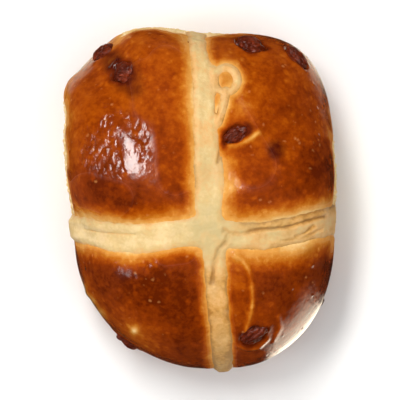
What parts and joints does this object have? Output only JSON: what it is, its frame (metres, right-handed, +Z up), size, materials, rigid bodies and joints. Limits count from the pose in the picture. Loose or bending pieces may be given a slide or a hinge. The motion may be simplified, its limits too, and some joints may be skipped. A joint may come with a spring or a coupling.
{
  "type": "hot cross bun",
  "caption": "Glazed fruit bun baked against its neighbours, with a piped flour-paste cross and raisins sunk in its domed crust.",
  "frame": {"origin": "on the flat base, under the middle of the bun", "axes": "+Z up through the dome; +Y along the bun's length, towards the pressed back side, so that the free round front is at -Y; +X across it to the right, seen from above with the back upwards"},
  "size_m": [0.0724, 0.091, 0.0464],
  "materials": {
    "crust": "glossy sugar-glazed brown crust",
    "paste": "pale cream baked flour paste, lightly glazed",
    "raisin": "dark wrinkled fruit skin under glaze"
  },
  "bodies": {
    "root": {"bun": "crust", "cross": "paste", "raisin_1": "raisin", "raisin_2": "raisin", "raisin_3": "raisin", "raisin_4": "raisin", "raisin_5": "raisin", "raisin_6": "raisin", "raisin_7": "raisin", "raisin_8": "raisin", "raisin_9": "raisin"}
  },
  "joints": []
}
